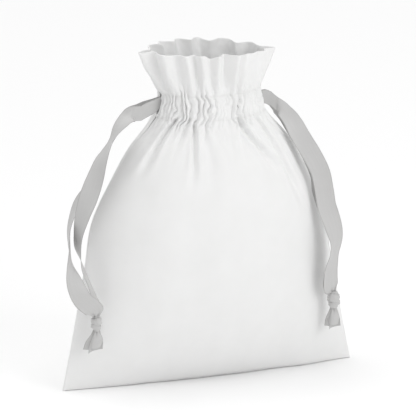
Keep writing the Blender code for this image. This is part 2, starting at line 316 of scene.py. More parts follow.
# Between the exit and the channel: each point's place across, from the exit or from the neck's edge
RUN_OUT = {"from_exit": 0.0040, "from_neck": (0.0065, 0.0025, -0.0004)}
RUN_OUT_HALF = (0.0056, 0.0050)
RUN_EDGE_GAP = (0.0010, 0.0008)
RUN_TURN_INSET = 0.0012
# How much of the way from the exit up to the channel each point of the run has climbed
RUN_DROP = {"left": (0.25, 0.55, 0.85), "right": (0.62, 0.95, 1.0)}
# How far apart the two ends of the run already are, as a share of their distance at the exit
RUN_SPREAD = {"left": (0.80, 0.50), "right": (0.42, 0.20)}

# Knots and tails
KNOT_SIZE = {"left": 0.90, "right": 1.12}
KNOT_LEAN = {"left": -0.30, "right": 0.25}
KNOT_CORE_RADII = (0.0036, 0.0030)
KNOT_HALF_HEIGHT = 0.0068
KNOT_WAIST = 0.62
KNOT_PLEAT = 0.13
# A strand's end and a tail's top lie this far inside the knot
STRAND_TUCK = 0.0022
TAIL_TUCK = 0.0025
# The knot's two turns: radii, height, how far up and to its leaning side it sits, its tilt as a share
# of the knot's lean, its turn about the upright, and the seed of its creases
KNOT_TURNS = (
    ((0.0036, 0.0031), 0.0068, 0.0016, 0.0, 1.0, 0.3, 1.0),
    ((0.0033, 0.0028), 0.0046, -0.0026, 0.0005, -1.5, -0.5, 2.3),
)
WRAP_THICK = 0.0011
WRAP_CREASES = (0.16, 0.10)
WRAP_FOLD = 0.00025
TAIL_POINTS = 30
TAIL_DEPTH = 0.0016
TAIL_SLANT = 0.10
TAIL_PLEAT = 0.0009
TAIL_CUP = 0.0030
TAIL_TOP_HALF = 0.0024
TAIL_HALF = {"left": 0.0070, "right": 0.0056}
TAIL_SWAY = {"left": -0.0022, "right": 0.0}
# The front and the back tail: which way it faces, its length share, its own sway and its turn
TAILS = {"front": (-1, 1.00, 0.0006, 16), "back": (1, 0.90, -0.0012, -14)}

# Studio: a white sky, a soft key light in front, a small one over the mouth, and a wide sun above
SKY_STRENGTH = 0.52
KEY_LIGHT = {"place": (1.0, -2.3, 1.1), "aim": (0, 0, 0.12), "size": 1.8, "power": 17}
OVERHEAD_LIGHT = {"place": (0.15, -0.45, 1.15), "aim": (0, 0.03, 0.24), "size": 0.6, "power": 0.8}
SUN_STRENGTH = 1.50
SUN_SPREAD = math.radians(70)
SUN_TURN = (math.radians(-9), math.radians(-10), 0)
FLOOR_SIZE = 12
FLOOR_Z = -0.0005

# Colours
COTTON_DARK = (0.850, 0.850, 0.845, 1)
COTTON_LIGHT = (0.870, 0.870, 0.867, 1)
THREAD_COLOUR = (0.84, 0.84, 0.83, 1)
SATIN_DARK = (0.535, 0.532, 0.528, 1)
SATIN_LIGHT = (0.560, 0.557, 0.552, 1)
SELVEDGE_COLOUR = (0.470, 0.467, 0.463, 1)
FLOOR_COLOUR = (0.95, 0.95, 0.95, 1)
WHITE = (1, 1, 1, 1)

# The strands' routes: a point on the ribbon's middle, and the way its face turns there, in degrees
LEFT_OUTER_ROUTE = (
    (-0.0575, 0.0036, 0.2168, 30),
    (-0.0644, 0.0036, 0.2141, 55),
    (-0.0733, 0.0028, 0.2063, 88),
    (-0.0808, 0.0015, 0.1961, 98),
    (-0.0868, 0.0005, 0.1867, 90),
    (-0.0948, 0.0000, 0.1716, 84),
    (-0.1022, -0.0010, 0.1580, 84),
    (-0.1122, 0.0000, 0.1443, 88),
    (-0.1200, -0.0065, 0.1304, 98),
    (-0.1243, -0.0170, 0.1181, 114),
    (-0.1262, -0.0240, 0.1049, 136),
    (-0.1240, -0.0275, 0.0915, 170),
    (-0.1180, -0.0285, 0.0790, 192),
    (-0.1080, -0.0265, 0.0700, 200),
)
LEFT_INNER_ROUTE = (
    (-0.0575, -0.0036, 0.2168, 30),
    (-0.0683, -0.0070, 0.2171, 57),
    (-0.0786, -0.0100, 0.2100, 76),
    (-0.0868, -0.0130, 0.2003, 93),
    (-0.0967, -0.0170, 0.1878, 79),
    (-0.1025, -0.0185, 0.1742, 58),
    (-0.1087, -0.0190, 0.1588, 42),
    (-0.1139, -0.0190, 0.1447, 66),
    (-0.1173, -0.0185, 0.1305, 84),
    (-0.1175, -0.0175, 0.1164, 95),
    (-0.1136, -0.0165, 0.1028, 112),
    (-0.1076, -0.0170, 0.0875, 118),
    (-0.1040, -0.0185, 0.0753, 128),
    (-0.1025, -0.0195, 0.0665, 150),
)
RIGHT_FRONT_ROUTE = (
    (0.0575, -0.0046, 0.2130, -15),
    (0.0648, -0.0140, 0.2030, 0),
    (0.0720, -0.0195, 0.1876, 10),
    (0.0796, -0.0230, 0.1737, 15),
    (0.0858, -0.0250, 0.1598, 18),
    (0.0878, -0.0280, 0.1457, 18),
    (0.0895, -0.0300, 0.1315, 12),
    (0.0945, -0.0305, 0.1173, -3),
    (0.0968, -0.0310, 0.1050, -26),
    (0.0950, -0.0315, 0.0933, -39),
    (0.0926, -0.0310, 0.0812, -25),
    (0.0930, -0.0295, 0.0690, -15),
)
RIGHT_BACK_ROUTE = (
    (0.0575, 0.0046, 0.2130, -15),
    (0.0660, -0.0050, 0.2030, 0),
    (0.0740, -0.0125, 0.1876, 10),
    (0.0818, -0.0172, 0.1720, 15),
    (0.0872, -0.0208, 0.1566, 18),
    (0.0884, -0.0220, 0.1436, 18),
    (0.0924, -0.0240, 0.1300, 12),
    (0.0972, -0.0245, 0.1155, -3),
    (0.0994, -0.0255, 0.1032, -26),
    (0.0977, -0.0258, 0.0915, -39),
    (0.0952, -0.0255, 0.0800, -25),
    (0.0950, -0.0245, 0.0690, -15),
)


# ---------------------------------------------------------------- numbers

def along(table, at):
    """The table's value at each height, on a smooth curve through its points."""
    keys = np.array([row[0] for row in table])
    values = np.array([row[1] for row in table])
    slopes = np.gradient(values, keys)
    at = np.clip(np.asarray(at, float), keys[0], keys[-1])
    i = np.clip(np.searchsorted(keys, at, side="right") - 1, 0, len(keys) - 2)
    span = keys[i + 1] - keys[i]
    t = (at - keys[i]) / span
    return (
        values[i] * (1 + 2 * t) * (1 - t) ** 2
        + values[i + 1] * t * t * (3 - 2 * t)
        + slopes[i] * span * t * (1 - t) ** 2
        + slopes[i + 1] * span * t * t * (t - 1)
    )


def smooth_step(low, high, at):
    t = np.clip((np.asarray(at, float) - low) / (high - low), 0.0, 1.0)
    return t * t * (3 - 2 * t)


def soft_noise(across, up, seed):
    """Smooth noise from -1 to 1, on a lattice one unit apart."""
    lattice = np.random.default_rng(seed).uniform(-1, 1, (LATTICE, LATTICE))
    across, up = np.broadcast_arrays(np.asarray(across, float), np.asarray(up, float))
    i, j = np.floor(across).astype(int), np.floor(up).astype(int)
    f, g = across - i, up - j
    f, g = f * f * (3 - 2 * f), g * g * (3 - 2 * g)

    def corner(di, dj):
        return lattice[(i + di) % LATTICE, (j + dj) % LATTICE]

    low = corner(0, 0) * (1 - f) + corner(1, 0) * f
    high = corner(0, 1) * (1 - f) + corner(1, 1) * f
    return low * (1 - g) + high * g


# ---------------------------------------------------------------- meshes

def mesh_object(name, points, faces, look, uvs=None):
    mesh = bpy.data.meshes.new(name)
    mesh.from_pydata([tuple(p) for p in points], [], faces)
    if uvs is not None:
        layer = mesh.uv_layers.new(name="cloth")
        corners = np.empty(len(mesh.loops), np.int32)
        mesh.loops.foreach_get("vertex_index", corners)
        layer.data.foreach_set("uv", np.asarray(uvs, np.float32)[corners].ravel())
    mesh.materials.append(look)
    mesh.shade_smooth()
    obj = bpy.data.objects.new(name, mesh)
    bpy.context.scene.collection.objects.link(obj)
    return obj


def grid_faces(rows, columns, closed=False):
    """Quads between rows of points; a closed grid joins its last column to its first."""
    faces = []
    last = columns if closed else columns - 1
    for r in range(rows - 1):
        for c in range(last):
            a = r * columns + c
            b = r * columns + (c + 1) % columns
            faces.append((a, b, b + columns, a + columns))
    return faces


def solidify(obj, thickness, offset):
    """Gives the cloth its thickness; its thin edges don't round the shading of its faces."""
    shell = obj.modifiers.new("Thickness", "SOLIDIFY")
    shell.thickness = thickness
    shell.offset = offset
    obj.modifiers.new("Flat shading at edges", "WEIGHTED_NORMAL")


def tube(points, radius, sides):
    """(points, faces) of a closed round tube along a line, drawn in at both ends."""
    points = np.asarray(points, float)
    ahead = np.gradient(points, axis=0)
    ahead /= np.linalg.norm(ahead, axis=1)[:, None]
    side = np.cross(ahead, NO_THREAD_RUNS)
    side /= np.linalg.norm(side, axis=1)[:, None]
    other = np.cross(ahead, side)
    turn = np.arange(sides) * 2 * math.pi / sides
    ring = side[:, None] * np.cos(turn)[None, :, None] + other[:, None] * np.sin(turn)[None, :, None]
    radii = np.full(len(points), radius)
    radii[[0, -1]] *= THREAD_END
    made = (points[:, None] + ring * radii[:, None, None]).reshape(-1, 3)
    faces = grid_faces(len(points), sides, closed=True)
    faces.append(tuple(range(sides))[::-1])
    faces.append(tuple((len(points) - 1) * sides + k for k in range(sides)))
    return made, faces


def joined(name, parts, look):
    """One object from several (points, faces)."""
    points, faces, first = [], [], 0
    for made, own in parts:
        points.append(made)
        faces += [tuple(first + k for k in face) for face in own]
        first += len(made)
    return mesh_object(name, np.concatenate(points), faces, look)


# ---------------------------------------------------------------- cloth

class Pleats:
    """Uneven folds across a panel: rounded ridges with tight valleys between them."""

    def __init__(self, count, seed, unevenness):
        chance = np.random.default_rng(seed)
        widths = 1 + unevenness * chance.uniform(-1, 1, count)
        self.edges = np.concatenate([[0.0], np.cumsum(widths)]) / widths.sum() * 2 - 1
        self.heights = 1 + FOLD_SPREAD * chance.uniform(-1, 1, count)
        self.count = count

    def __call__(self, share, power):
        phase = np.interp(share, self.edges, np.arange(self.count + 1))
        number = np.clip(phase.astype(int), 0, self.count - 1)
        within = phase - number
        return self.heights[number] * (1 - np.abs(2 * within - 1) ** power) - FOLD_MEAN


def dents(share, places):
    """Rounded dents across the cloth, each with a low shoulder on both sides."""
    total = np.zeros_like(share)
    for centre, depth, width in places:
        off = (share - centre) / width
        shoulders = np.exp(-((off - SHOULDER_AT) ** 2)) + np.exp(-((off + SHOULDER_AT) ** 2))
        total += depth * (np.exp(-off * off) - SHOULDER_SHARE * shoulders)
    return total


def crease_depth(share, z, creases):
    """How far in the long creases below the channel press the cloth, in metres."""
    total = np.zeros_like(share)
    for path, depth, width in creases:
        top, foot = path[0][0], path[-1][0]
        down = (top - z) / (top - foot)
        if not CREASE_STARTS[0] < down < CREASE_ENDS[1]:
            continue
        centre = along(sorted(path), z)
        fade = smooth_step(*CREASE_STARTS, down) * (1 - smooth_step(*CREASE_ENDS, down))
        wide = width * (CREASE_WIDENS[0] + CREASE_WIDENS[1] * max(down, 0))
        total += fade * dents(share, ((centre, depth, wide),))
    return total


class Panel:
    """One cloth panel's surface: places points by their share across the cloth and their height."""

    def __init__(self, side):
        self.side = side
        self.facing = 1 if side == "front" else -1
        self.seed = SEEDS[side]
        self.fine = Pleats(FINE_COUNT, self.seed, FINE_UNEVENNESS)
        self.medium = Pleats(MEDIUM_COUNT, self.seed + 1, MEDIUM_UNEVENNESS)

    def noise(self, share, z, kind):
        size, across, up, step = kind
        return size * soft_noise(share * across, z * up, self.seed + step)

    def outward(self, share, z):
        """Height of the folds over the smooth section, in metres."""
        sway = smooth_step(*DRIFT_STARTS, z)
        drift = sway * (self.noise(share, z, GATHER_DRIFT) + self.noise(share, z, GATHER_QUIVER))
        strength = along(GATHERING[self.side], share)
        rise = along(FINE_DEPTH, z) * self.fine(share + drift, FINE_POWER) * strength
        rise += along(MEDIUM_DEPTH, z) * self.medium(share + 0.5 * drift, MEDIUM_POWER) * strength
        lean = self.noise(share, z, HEADER_DRIFT)
        rise -= along(HEADER_DEPTH, z) * dents(share + lean, FLUTES[self.side])
        rise -= crease_depth(share, z, CREASES[self.side])
        body = 1 - smooth_step(*BODY_ENDS, z)
        rise += body * (self.noise(share, z, BODY_SWELL) + self.noise(share, z, BODY_DENTS))
        rise += (1 - body) * self.noise(share, z, NECK_CRUMPLE)
        middle = (CHANNEL_TOP_Z + CHANNEL_BOTTOM_Z) / 2
        half = (CHANNEL_TOP_Z - CHANNEL_BOTTOM_Z) / 2
        puff = CHANNEL_PUFF * (1 + self.noise(share, 0.5, PUFF_CHANGE))
        rise += puff * np.clip(1 - ((z - middle) / half) ** 2, 0, 1)
        waver = self.noise(share, 0.3, ROW_WAVER)
        for row in (CHANNEL_TOP_Z, CHANNEL_BOTTOM_Z):
            rise -= ROW_PINCH * np.exp(-(((z - row + waver) / ROW_PINCH_REACH) ** 2))
        return rise

    def rim_shift(self, share, z):
        """How far the header's edge stands above or below its mean height."""
        up = smooth_step(CHANNEL_TOP_Z, RIM_Z, z)
        right = share * self.facing
        level = RIM_LEVEL[0] + RIM_LEVEL[1] * right + RIM_LEVEL[2] * right * right
        return up * (level - dents(share, RIM_DIPS[self.side]))

    def points(self, share, z, inset=0.0):
        """Points at one height, share from -1 at the left seam to 1 at the right one."""
        wide, deep, edge = (float(along(t, z)) for t in (HALF_WIDTH, HALF_DEPTH, SIDE_EDGE_Y))
        lens = LENS_AT_BASE + (LENS_AT_NECK - LENS_AT_BASE) * min(z / CHANNEL_BOTTOM_Z, 1.0)
        lens += (LENS_AT_RIM - LENS_AT_NECK) * float(smooth_step(CHANNEL_TOP_Z, RIM_Z, z))
        turn = np.linspace(-math.pi / 2, math.pi / 2, SECTION_POINTS)
        x, y = wide * np.sin(turn), -(edge + deep * np.cos(turn) ** lens)
        length = np.concatenate([[0.0], np.cumsum(np.hypot(np.diff(x), np.diff(y)))])
        at = (share + 1) / 2 * length[-1]
        dx, dy = np.gradient(x, length), np.gradient(y, length)
        px, py = np.interp(at, length, x), np.interp(at, length, y)
        tx, ty = np.interp(at, length, dx), np.interp(at, length, dy)
        size = np.hypot(tx, ty)
        nx, ny = ty / size, -tx / size
        sewn = 1 - smooth_step(*SLIT_OPENS, z)
        pressed = smooth_step(*EDGES_MEET, z) * (1 - smooth_step(*EDGES_PART, z))
        window = 1 - (sewn + pressed) * np.abs(share) ** EDGE_POWER
        rise = self.outward(share, z) * window - inset
        px, py = px + nx * rise, py + ny * rise
        px = px + self.facing * float(along(NECK_LEAN, z))
        pz = z + self.rim_shift(share, z)
        return np.stack([self.facing * px, self.facing * py, pz], axis=-1)


def panel_rows():
    """(height, inset, floor share) of each row: floor, wall, over the rim, and down the hem inside."""
    rows = [(0.0, 0.0, share) for share in FLOOR_SHARES]
    tops = [foot for foot, _ in WALL_ROWS[1:]] + [RIM_Z]
    for (foot, count), top in zip(WALL_ROWS, tops):
        rows += [(z, 0.0, 1.0) for z in np.linspace(foot, top, count)[:-1]]
    rows.append((RIM_Z, 0.0, 1.0))
    reach = (HEM_GAP + CLOTH_THICK) / 2
    for degrees in RIM_TURN_DEGREES:
        over = math.radians(degrees)
        rows.append((RIM_Z + reach * math.sin(over), reach * (1 - math.cos(over)), 1.0))
    hem = np.linspace(RIM_Z, HEM_EDGE_Z, HEM_ROWS)
    return rows + [(z, 2 * reach, 1.0) for z in hem]


def cinch(points):
    """Weights for each point, rising towards the neck and running across it from one side to the other; on
    the real pouch the neck draws in from both sides as the ribbons come out.
    """
    z = points[:, 2]
    rise = smooth_step(CINCH_FOOT_Z, CINCH_FULL_Z, z)
    share = np.clip(points[:, 0] / along(HALF_WIDTH, z), -CINCH_LIMIT, CINCH_LIMIT)
    return rise * share


def draw_in(obj, weights):
    """Bakes the piece's placement into its points; the weights are not used."""
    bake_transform(obj)


def vertices_of(obj):
    made = np.empty(len(obj.data.vertices) * 3)
    obj.data.vertices.foreach_get("co", made)
    return made.reshape(-1, 3)


def cinch_neck(obj):
    draw_in(obj, cinch(vertices_of(obj)))


def cloth_panel(side, look):
    panel = Panel(side)
    rows = panel_rows()
    share = np.linspace(-1, 1, COLUMNS + 1)
    made, uvs = [], []
    travelled, before = 0.0, None
    for z, inset, floor_share in rows:
        row = panel.points(share, min(z, RIM_Z), inset)
        row[:, 2] += max(z - RIM_Z, 0.0)
        inner = -panel.facing * FLOOR_GAP
        row[:, 1] = inner + (row[:, 1] - inner) * floor_share
        if before is not None:
            travelled += float(np.median(np.linalg.norm(row - before, axis=1)))
        before = row
        made.append(row)
        uvs.append(np.stack([share * PANEL_FLAT_WIDTH / 2, np.full_like(share, travelled)], axis=-1))
    points = np.concatenate(made)
    uvs = np.concatenate(uvs)
    faces = grid_faces(len(rows), COLUMNS + 1)
    obj = mesh_object(f"{side}_panel_cloth", points, faces, look, uvs)
    solidify(obj, CLOTH_THICK, -1.0)
    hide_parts(f"{side}_panel")
    cinch_neck(obj)


# ---------------------------------------------------------------- seams and stitches

def stitch_row(side, level, name, look):
    """A row of lockstitches, each a short thread that follows the gathers."""
    panel = Panel(side)
    pitch = 2 * STITCH_REACH / CHANNEL_STITCHES
    parts = []
    for i in range(CHANNEL_STITCHES):
        first = -STITCH_REACH + pitch * i
        share = np.linspace(first, first + pitch * STITCH_SHARE, 5)
        line = panel.points(share, level, inset=-STITCH_PROUD)
        line[:, 2] += STITCH_WAVER * math.sin(i * 2.4)
        parts.append(tube(line, STITCH_RADIUS, 6))
    obj = joined(f"{side}_channel_{name}_stitches", parts, look)
    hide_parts(f"{side}_channel_{name}_stitching")
    cinch_neck(obj)


def edge_x(hand, z, inset):
    """How far across the side edge stands, inset from it towards the middle."""
    sign = -1 if hand == "left" else 1
    return sign * (along(HALF_WIDTH, z) - inset) + along(NECK_LEAN, z)


def side_seam(hand, look, thread):
    """The two allowances sewn together inside the edge, and the overlock thread along them."""
    rows = []
    reach = np.linspace(0, SEAM_ALLOWANCE, SEAM_COLUMNS)
    for z in np.linspace(SEAM_FOOT_Z, SLIT_BOTTOM_Z, SEAM_ROWS):
        wave = SEAM_WAVE * np.sin(z * 900 + reach * 500)
        rows.append(np.stack([edge_x(hand, z, reach + SEAM_INSET), wave, np.full_like(reach, z)], axis=-1))
    faces = grid_faces(SEAM_ROWS, SEAM_COLUMNS)
    obj = mesh_object(f"{hand}_seam_allowance", np.concatenate(rows), faces, look)
    solidify(obj, 2 * SEAM_HALF_THICK, 0.0)
    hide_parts(f"{hand}_side_seam")
    cinch_neck(obj)
    edge = []
    for i, z in enumerate(np.linspace(0.0030, SLIT_BOTTOM_Z - 0.0020, OVERLOCK_POINTS)):
        swing = OVERLOCK_SWING * (1 if i % 2 else -1)
        edge.append((float(edge_x(hand, z, OVERLOCK_INSET - swing)), OVERLOCK_PROUD, z))
    overlock = joined(f"{hand}_seam_overlock", [tube(edge, OVERLOCK_RADIUS, 5)], thread)
    cinch_neck(overlock)


def bottom_seam(look):
    reach = float(along(HALF_WIDTH, 0.0)) - BOTTOM_SEAM_INSET
    across = np.linspace(-reach, reach, BOTTOM_SEAM_COLUMNS)
    wave = BOTTOM_SEAM_WAVE * np.sin(across * 700)
    heights = BOTTOM_SEAM_FOOT_Z + np.linspace(0, SEAM_ALLOWANCE, SEAM_COLUMNS)
    rows = [np.stack([across, wave, np.full_like(across, z)], axis=-1) for z in heights]
    faces = grid_faces(SEAM_COLUMNS, BOTTOM_SEAM_COLUMNS)
    obj = mesh_object("bottom_seam_allowance", np.concatenate(rows), faces, look)
    solidify(obj, 2 * SEAM_HALF_THICK, 0.0)
    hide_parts("bottom_seam")
    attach(obj, "pouch")


def bartack(hand, look):
    """Close short stitches across the top of the side seam."""
    parts = []
    top = SLIT_BOTTOM_Z - BARTACK_BELOW_SLIT
    y = np.linspace(-BARTACK_HALF_WIDTH, BARTACK_HALF_WIDTH, len(BARTACK_INSETS))
    for z in np.linspace(top - BARTACK_HEIGHT, top, BARTACK_STITCHES):
        x = [float(edge_x(hand, z, inset)) for inset in BARTACK_INSETS]
        parts.append(tube(np.stack([x, y, np.full_like(y, z)], axis=-1), BARTACK_RADIUS, 6))
    obj = joined(f"{hand}_slit_bartack_stitches", parts, look)
    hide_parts(f"{hand}_slit_bartack")
    cinch_neck(obj)


# ---------------------------------------------------------------- ribbons

def smooth_route(route, step):
    """Points a step apart on a Catmull-Rom curve through the route's own points, with their turns."""
    rows = np.array(route, float)
    rows = np.concatenate([[2 * rows[0] - rows[1]], rows, [2 * rows[-1] - rows[-2]]])
    rows[0, 3], rows[-1, 3] = rows[1, 3], rows[-2, 3]
    found = []
    for i in range(1, len(rows) - 2):
        count = max(1, round(np.linalg.norm(rows[i + 1, :3] - rows[i, :3]) / step))
        for t in np.arange(count) / count:
            weights = (
                -t + 2 * t * t - t**3,
                2 - 5 * t * t + 3 * t**3,
                t + 4 * t * t - 3 * t**3,
                -t * t + t**3,
            )
            found.append(sum(w * rows[i - 1 + j] for j, w in enumerate(weights)) / 2)
    found.append(rows[-2])
    found = np.array(found)
    return found[:, :3], found[:, 3]


def distance_along(points):
    return np.concatenate([[0.0], np.cumsum(np.linalg.norm(np.diff(points, axis=0), axis=1))])


def ribbon_strip(name, centre, across, look, cup, ripple, pleat):
    """A ribbon along centre, with a half-width vector at each point, a cupped section and pleats."""
    t = np.linspace(-1, 1, RIBBON_COLUMNS)
    ahead = np.gradient(centre, axis=0)
    face = np.cross(across, ahead)
    face /= np.linalg.norm(face, axis=1)[:, None]
    walked = distance_along(centre)
    lift = (1 - t**2)[None, :] * np.broadcast_to(cup, len(centre))[:, None]
    lift = lift + ripple * np.sin(walked[:, None] * 240 + t[None, :] * 1.3) * np.abs(t[None, :]) ** 3
    lift = lift + pleat[:, None] * np.cos(t[None, :] * 2.5 * math.pi)
    points = centre[:, None] + across[:, None] * t[None, :, None] + face[:, None] * lift[..., None]
    uvs = np.stack(np.broadcast_arrays(t[None, :] * RIBBON_WIDTH / 2, walked[:, None]), axis=-1)
    faces = grid_faces(len(centre), RIBBON_COLUMNS)
    obj = mesh_object(name, points.reshape(-1, 3), faces, look, uvs.reshape(-1, 2))
    solidify(obj, RIBBON_THICK, 0.0)
    return obj


def strand(name, route, hand, look):
    """A free stretch of ribbon, from the side exit to where it tucks into its knot."""
    low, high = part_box(f"{hand}_ribbon_knot")
    knot_top = (*((low + high) / 2)[:2], high.z - STRAND_TUCK, route[-1][3])
    centre, turns = smooth_route((*route, knot_top), ROUTE_STEP)
    ahead = np.gradient(centre, axis=0)
    angle = np.radians(turns)
    face = np.stack([-np.sin(angle), -np.cos(angle), np.zeros_like(angle)], axis=-1)
    across = np.cross(face, ahead)
    across /= np.linalg.norm(across, axis=1)[:, None]
    walked = distance_along(centre)
    length = walked[-1]
    left = length - walked
    share = KNOT_SHARE + (1 - KNOT_SHARE) * smooth_step(*TUCKS_IN, left)
    share *= EXIT_SHARE + (1 - EXIT_SHARE) * smooth_step(*SPREADS, walked)
    # It leaves its exit with its width upright, as it lies in the channel
    upright = 1 - smooth_step(*TURNS_FREE, walked)[:, None]
    start = np.array([0.0, 0.0, math.copysign(1.0, across[2, 2])])
    across = across * (1 - upright) + start * upright
    across /= np.linalg.norm(across, axis=1)[:, None]
    pleat = PLEAT_DEPTH * (1 - smooth_step(*PLEATS_UP, left))
    cup = CUP_DEPTH * smooth_step(*CUPS, walked)
    half = (RIBBON_WIDTH / 2 * share)[:, None]
    obj = ribbon_strip(name, centre, across * half, look, cup, EDGE_RIPPLE, pleat)
    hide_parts(name.replace("_satin", ""))
    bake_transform(obj)


def run_line(hand, rise):
    """One lengthwise line of a ribbon round the channel, rise above the ribbon's own middle."""
    sign = -1 if hand == "left" else 1
    exit_z, gap, level = EXIT_Z[hand], EXIT_GAP[hand], RUN_Z[hand]
    neck = float(along(HALF_WIDTH, level))
    inset = (HEM_GAP + CLOTH_THICK) / 2 + RUN_SPACING * sign
    share = np.linspace(RUN_REACH, -RUN_REACH, RUN_POINTS)
    z = level + rise * RUN_WIDTH / 2
    front = Panel("front").points(share, z, inset)
    back = Panel("back").points(share, z, inset)
    if hand == "left":
        front, back = front[::-1], back[::-1]
    lean = float(along(NECK_LEAN, level))
    far = -sign * (neck - RUN_TURN_INSET) + lean
    turn = np.array([(far, side * RUN_EDGE_GAP[1], z) for side in (-1, 1)])
    half = EXIT_SHARE * RIBBON_WIDTH / 2
    drop, spread = RUN_DROP[hand], RUN_SPREAD[hand]
    # From the exit in to the channel, where the ribbon is narrower and its two ends lie close together
    climb = [exit_z + share_up * (level - exit_z) for share_up in drop]
    outer, inner, edge = RUN_OUT["from_neck"]
    out = np.array(
        [
            (EXIT_X, gap, exit_z + rise * half),
            (EXIT_X - RUN_OUT["from_exit"], gap * spread[0], climb[0] + rise * half),
            (neck + outer, gap * spread[1], climb[1] + rise * RUN_OUT_HALF[0]),
            (neck + inner, RUN_EDGE_GAP[0], climb[2] + rise * RUN_OUT_HALF[1]),
            (neck + edge, RUN_EDGE_GAP[1], z),
        ]
    )
    out[1:, 0] += sign * lean * smooth_step(EXIT_X, neck, out[1:, 0])
    leave = out * (sign, -1, 1)
    arrive = out[::-1] * (sign, 1, 1)
    return np.concatenate([leave, front, turn, back, arrive])


def channel_run(hand, look):
    """The gathered run of a ribbon round the channel, and the short stretch out to its strands."""
    sign = -1 if hand == "left" else 1
    rises = np.linspace(-1, 1, RUN_LINES)
    points = np.stack([run_line(hand, rise) for rise in rises], axis=1)
    walked = distance_along(points[:, RUN_LINES // 2])
    uvs = np.stack(np.broadcast_arrays(rises[None, :] * RIBBON_WIDTH / 2, walked[:, None]), axis=-1)
    faces = grid_faces(len(points), len(rises))
    name = f"{hand}_ribbon_channel_satin"
    obj = mesh_object(name, points.reshape(-1, 3), faces, look, uvs.reshape(-1, 2))
    solidify(obj, RUN_THICK, 0.0)
    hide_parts(f"{hand}_ribbon_channel_run")
    placed = vertices_of(obj)
    neck = float(along(HALF_WIDTH, RUN_Z[hand]))
    inner = -sign * np.clip(placed[:, 0] / neck, -1, 1)
    outer = smooth_step(neck, EXIT_X - 0.001, sign * placed[:, 0])
    draw_in(obj, inner * (1 - outer) + outer)


def wrap_band(centre, radii, height, tilt, yaw, seed):
    """(points, faces) of one turn of ribbon drawn tight round the knot: a creased band."""
    around, section = 44, 14
    turn = np.arange(around) * 2 * math.pi / around
    roll = np.arange(section) * 2 * math.pi / section
    # Three broad creases and seven small ones round the band, and five folds across it
    crease = 1 + WRAP_CREASES[0] * np.sin(3 * turn + seed) + WRAP_CREASES[1] * np.sin(7 * turn + 2 * seed)
    points = []
    for a, swell in zip(turn, crease):
        outwards = np.array([math.cos(a), math.sin(a), 0.0])
        ring = outwards * np.array([radii[0], radii[1], 0.0])
        for r in roll:
            rise = height / 2 * math.sin(r) * (0.85 + 0.15 * swell)
            folded = WRAP_FOLD * math.cos(5 * r + 2 * a)
            thick = WRAP_THICK * math.cos(r) * swell + folded
            points.append(ring + outwards * thick + np.array([0, 0, rise]))
    points = np.array(points)
    spin = Matrix.Rotation(yaw, 3, "Z") @ Matrix.Rotation(tilt, 3, "Y")
    points = points @ np.array(spin).T + np.array(centre)
    faces = []
    for i in range(around):
        for j in range(section):
            a, b = i * section + j, i * section + (j + 1) % section
            c, d = ((i + 1) % around) * section + (j + 1) % section, ((i + 1) % around) * section + j
            faces.append((a, d, c, b))
    return points, faces


def knot_core(centre, radii, half_height):
    """(points, faces) of the gathered ribbons that pass through the knot, in six twisted pleats."""
    around, levels = 32, 12
    points = []
    for k in range(levels + 1):
        v = -1 + 2 * k / levels
        waist = KNOT_WAIST + (1 - KNOT_WAIST) * (1 - abs(v) ** 2.5)
        for i in range(around):
            a = 2 * math.pi * i / around
            pleat = 1 + KNOT_PLEAT * math.cos(6 * a + 1.5 * v)
            r = waist * pleat
            points.append((radii[0] * r * math.cos(a), radii[1] * r * math.sin(a), half_height * v))
    faces = grid_faces(levels + 1, around, closed=True)
    faces.append(tuple(range(around))[::-1])
    faces.append(tuple(levels * around + i for i in range(around)))
    return np.array(points) + np.array(centre), faces


def knot(hand, look):
    """An overhand knot in the doubled ribbon: pleated strands inside, two creased turns round them."""
    low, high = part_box(f"{hand}_ribbon_knot")
    centre = np.array((low + high) / 2)
    size, lean = KNOT_SIZE[hand], KNOT_LEAN[hand]
    parts = [knot_core(centre, [size * r for r in KNOT_CORE_RADII], KNOT_HALF_HEIGHT)]
    for radii, height, up, across, tilt_share, yaw, seed in KNOT_TURNS:
        place = centre + (math.copysign(across, lean), 0.0, up)
        parts.append(wrap_band(place, [size * r for r in radii], height, tilt_share * lean, yaw, seed))
    obj = joined(f"{hand}_ribbon_knot_satin", parts, look)
    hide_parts(f"{hand}_ribbon_knot")
    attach(obj, f"{hand}_ribbon_loop")
    return obj


def tail(hand, which, look):
    """A cut end below the knot: it leaves the knot narrow and pleated, then flares and cups."""
    low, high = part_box(f"{hand}_ribbon_{which}_tail")
    knot_low, knot_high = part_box(f"{hand}_ribbon_knot")
    facing, length_share, own_sway, turn_degrees = TAILS[which]
    middle = (knot_low + knot_high) / 2
    top = np.array([middle.x, middle.y, knot_low.z + TAIL_TUCK])
    v = np.linspace(0, 1, TAIL_POINTS)
    drop = (top[2] - low.z) * length_share
    sway = TAIL_SWAY[hand] + own_sway
    depth = facing * TAIL_DEPTH * v**1.3
    centre = np.stack([top[0] + sway * v**1.5, top[1] + depth, top[2] - drop * v], axis=-1)
    half = TAIL_TOP_HALF + (TAIL_HALF[hand] - TAIL_TOP_HALF) * smooth_step(0.0, 0.75, v)
    yaw = math.radians(turn_degrees)
    slant = TAIL_SLANT * v
    across = np.stack([half * math.cos(yaw), half * math.sin(yaw), half * slant], axis=-1)
    pleat = TAIL_PLEAT * (1 - smooth_step(0.0, 0.5, v))
    cup = -facing * TAIL_CUP * smooth_step(0.0, 0.6, v)
    obj = ribbon_strip(f"{hand}_ribbon_{which}_tail_satin", centre, across, look, cup, 0.0, pleat)
    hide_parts(f"{hand}_ribbon_{which}_tail")
    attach(obj, f"{hand}_ribbon_loop")
    return obj


# ---------------------------------------------------------------- materials

